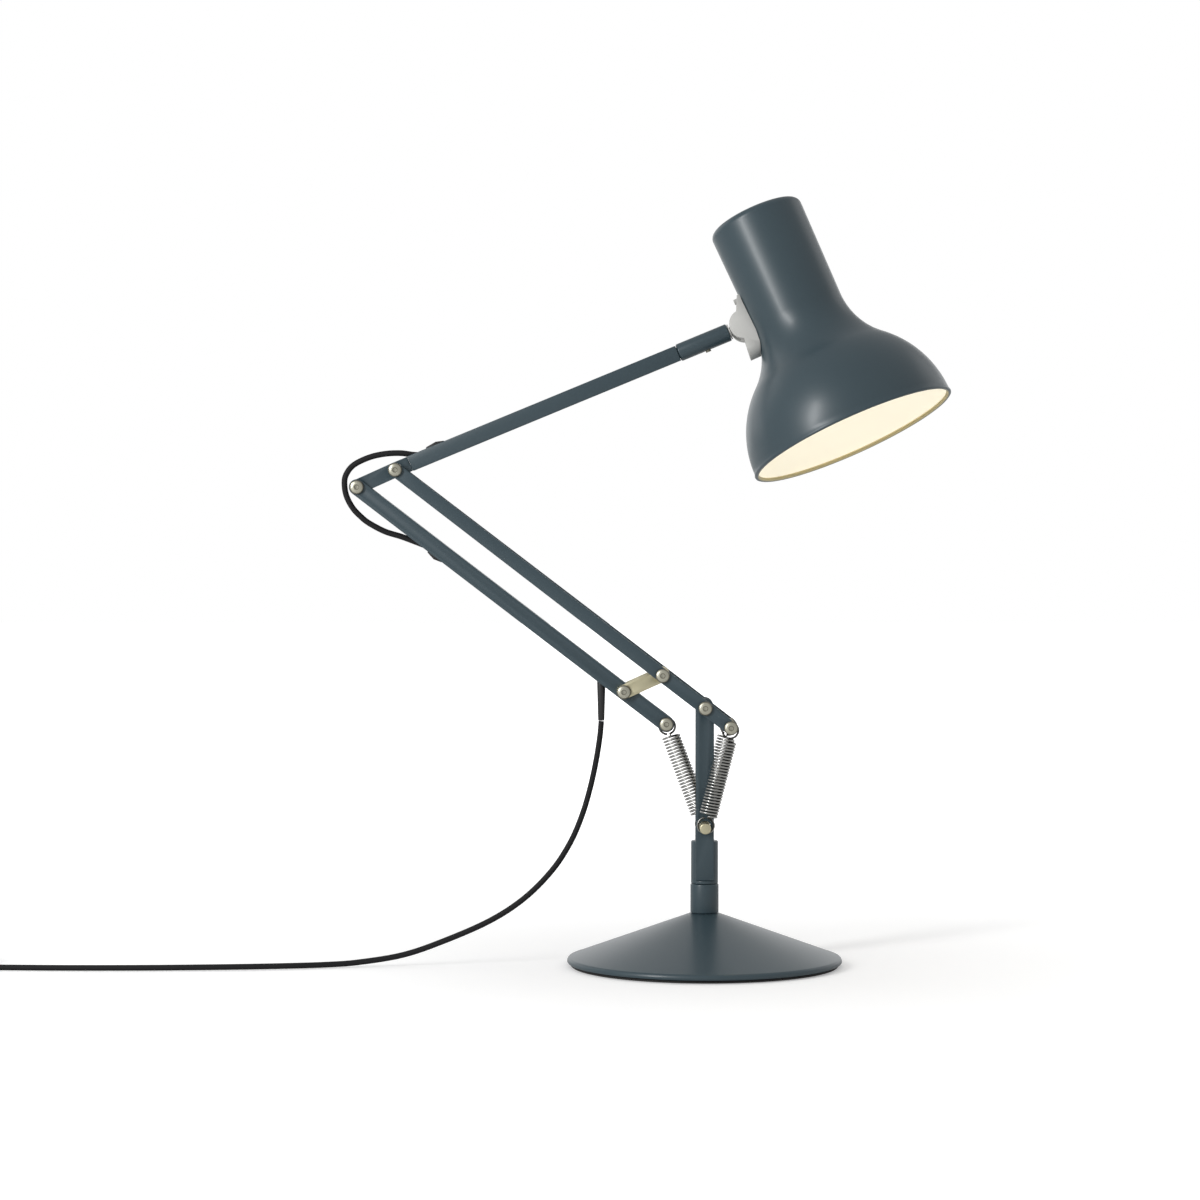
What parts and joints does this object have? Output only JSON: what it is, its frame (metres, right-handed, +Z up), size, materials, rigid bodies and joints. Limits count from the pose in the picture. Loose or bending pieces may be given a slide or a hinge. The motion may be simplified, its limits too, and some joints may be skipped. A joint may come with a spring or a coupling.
{
  "type": "architect desk lamp",
  "caption": "Spring-balanced desk lamp with a weighted round base, swivelling post, parallel-link lower arm, square-tube upper arm and a tilting bell shade.",
  "frame": {"origin": "centre of the underside of the round base, on the surface that the lamp stands on", "axes": "+Z up, +X the way the upper arm reaches at rest, +Y away from the viewer of the rest pose"},
  "size_m": [0.5867, 0.1662, 0.4196],
  "materials": {
    "slate_paint": "satin slate grey paint",
    "foot_rubber": "matt black",
    "black_cord": "satin black sheath",
    "black_plastic": "moulded satin black",
    "dark_iron": "dark",
    "pale_plastic": "natural nylon and ceramic",
    "spring_wire": "bright zinc-plated wire",
    "cast_alloy": "satin cast alloy",
    "bulb_glass": "opal",
    "bright_steel": "satin nickel plate"
  },
  "bodies": {
    "base": {"base_pad": "foot_rubber", "base_weight": "dark_iron", "base_cover": "slate_paint", "base_collar": "slate_paint", "collar_bush": "pale_plastic", "collar_nut": "bright_steel"},
    "post": {"spindle": "slate_paint", "post_plate_front": "slate_paint", "post_plate_back": "slate_paint", "spring_anchor_pin": "bright_steel", "shoulder_spacer": "bright_steel", "cord_run": "black_cord", "cord_coil": "black_cord", "plug": "black_plastic"},
    "lower_arm": {"lower_arm_strip_front": "slate_paint", "lower_arm_strip_back": "slate_paint", "shoulder_pin": "bright_steel", "cross_front_pin": "bright_steel", "elbow_pin": "bright_steel", "elbow_washer_front": "pale_plastic", "elbow_washer_back": "pale_plastic", "cross_sleeve_front": "bright_steel", "cross_sleeve_back": "bright_steel", "spring_stud_front": "bright_steel", "spring_stud_back": "bright_steel"},
    "upper_arm": {"upper_arm_tube": "slate_paint", "elbow_tongue": "slate_paint", "upper_lead_clip": "black_plastic", "neck_sleeve": "slate_paint", "neck_grub_screw": "dark_iron", "elbow_lead_top": "black_cord", "elbow_bush": "pale_plastic", "lever_bush": "pale_plastic"},
    "rear_link": {"rear_link": "slate_paint", "lever_pin": "bright_steel", "cross_rear_pin": "bright_steel", "rear_spring_pin": "bright_steel", "rear_lead_clip": "black_plastic", "cord_relief": "black_plastic", "elbow_lead_foot": "black_cord"},
    "cross_links": {"cross_link_front": "bright_steel", "cross_link_back": "bright_steel"},
    "front_springs": {"front_spring_coil": "spring_wire", "back_spring_coil": "spring_wire"},
    "front_spring_hooks": {"front_spring_hook": "spring_wire", "back_spring_hook": "spring_wire"},
    "rear_spring": {"rear_spring_lower": "spring_wire"},
    "rear_spring_middle": {"rear_spring_upper": "spring_wire"},
    "rear_spring_top": {"rear_spring_hook": "spring_wire"},
    "knuckle": {"knuckle": "cast_alloy"},
    "head": {"shade": "slate_paint", "shade_bracket": "cast_alloy", "tilt_pin": "bright_steel", "bracket_screw_1": "bright_steel", "bracket_screw_2": "bright_steel", "switch_body": "black_plastic", "lamp_holder": "pale_plastic", "bulb": "bulb_glass"},
    "switch": {"switch_button": "black_plastic"}
  },
  "joints": [
    {"name": "turntable", "type": "hinge", "parent": "base", "child": "post", "pos_m": [0, 0, 0.045], "axis": [0, 0, 1], "range_deg": [-170, 170]},
    {"name": "shoulder", "type": "hinge", "parent": "post", "child": "lower_arm", "pos_m": [0, 0, 0.1419], "axis": [0, -1, 0], "range_deg": [-40, 12], "deforming": ["cord_run"]},
    {"name": "elbow", "type": "hinge", "parent": "lower_arm", "child": "upper_arm", "pos_m": [-0.16859, 0, 0.27126], "axis": [0, -1, 0], "range_deg": [-20, 28], "deforming": ["elbow_lead_top"]},
    {"name": "rear_link_turn", "type": "hinge", "parent": "upper_arm", "child": "rear_link", "pos_m": [-0.18957, 0, 0.26183], "axis": [0, -1, 0], "range_deg": [-29, 21], "deforming": ["elbow_lead_foot"]},
    {"name": "cross_link_turn", "type": "hinge", "parent": "lower_arm", "child": "cross_links", "pos_m": [-0.02317, 0, 0.15968], "axis": [0, -1, 0], "range_deg": [-21, 29]},
    {"name": "front_spring_turn", "type": "hinge", "parent": "post", "child": "front_springs", "pos_m": [0, 0, 0.0766], "axis": [0, -1, 0], "range_deg": [-2.91, 8.92], "deforming": ["front_spring_coil", "back_spring_coil"]},
    {"name": "front_spring_stretch", "type": "slide", "parent": "front_springs", "child": "front_spring_hooks", "axis": [0.2478, 0, 0.9688], "range_m": [-0.00946, 0.00309], "deforming": ["front_spring_hook", "back_spring_hook"]},
    {"name": "rear_spring_turn", "type": "hinge", "parent": "post", "child": "rear_spring", "pos_m": [0, 0, 0.0766], "axis": [0, -1, 0], "range_deg": [-4.2, 1.37], "deforming": ["rear_spring_lower"]},
    {"name": "rear_spring_stretch", "type": "slide", "parent": "rear_spring", "child": "rear_spring_middle", "axis": [-0.3515, 0, 0.9362], "range_m": [-0.00478, 0.01464], "deforming": ["rear_spring_upper"]},
    {"name": "rear_spring_stretch_more", "type": "slide", "parent": "rear_spring_middle", "child": "rear_spring_top", "axis": [-0.3515, 0, 0.9362], "range_m": [-0.01123, 0.00818], "deforming": ["rear_spring_hook"]},
    {"name": "head_swivel", "type": "hinge", "parent": "upper_arm", "child": "knuckle", "pos_m": [0.02131, 0, 0.34953], "axis": [0.9245, 0, 0.3811], "range_deg": [-80, 80]},
    {"name": "head_tilt", "type": "hinge", "parent": "knuckle", "child": "head", "pos_m": [0.02131, 0, 0.34953], "axis": [-0.076, -0.9799, 0.1843], "range_deg": [-45, 55]},
    {"name": "switch_press", "type": "slide", "parent": "head", "child": "switch", "axis": [0.3959, -0.1993, -0.8964], "range_m": [0, 0.0018], "stiffness_N_per_m": 600}
  ],
  "couplings": [
    {"joint": "rear_link_turn", "follows": "elbow", "ratio": -1},
    {"joint": "cross_link_turn", "follows": "elbow", "ratio": 1},
    {"joint": "front_spring_turn", "follows": "shoulder", "ratio": -0.2146},
    {"joint": "front_spring_stretch", "follows": "shoulder", "m_per_rad": 0.01304},
    {"joint": "rear_spring_turn", "follows": "shoulder", "ratio": 0.1011},
    {"joint": "rear_spring_stretch", "follows": "shoulder", "m_per_rad": -0.02018},
    {"joint": "rear_spring_stretch_more", "follows": "elbow", "m_per_rad": -0.02185}
  ]
}
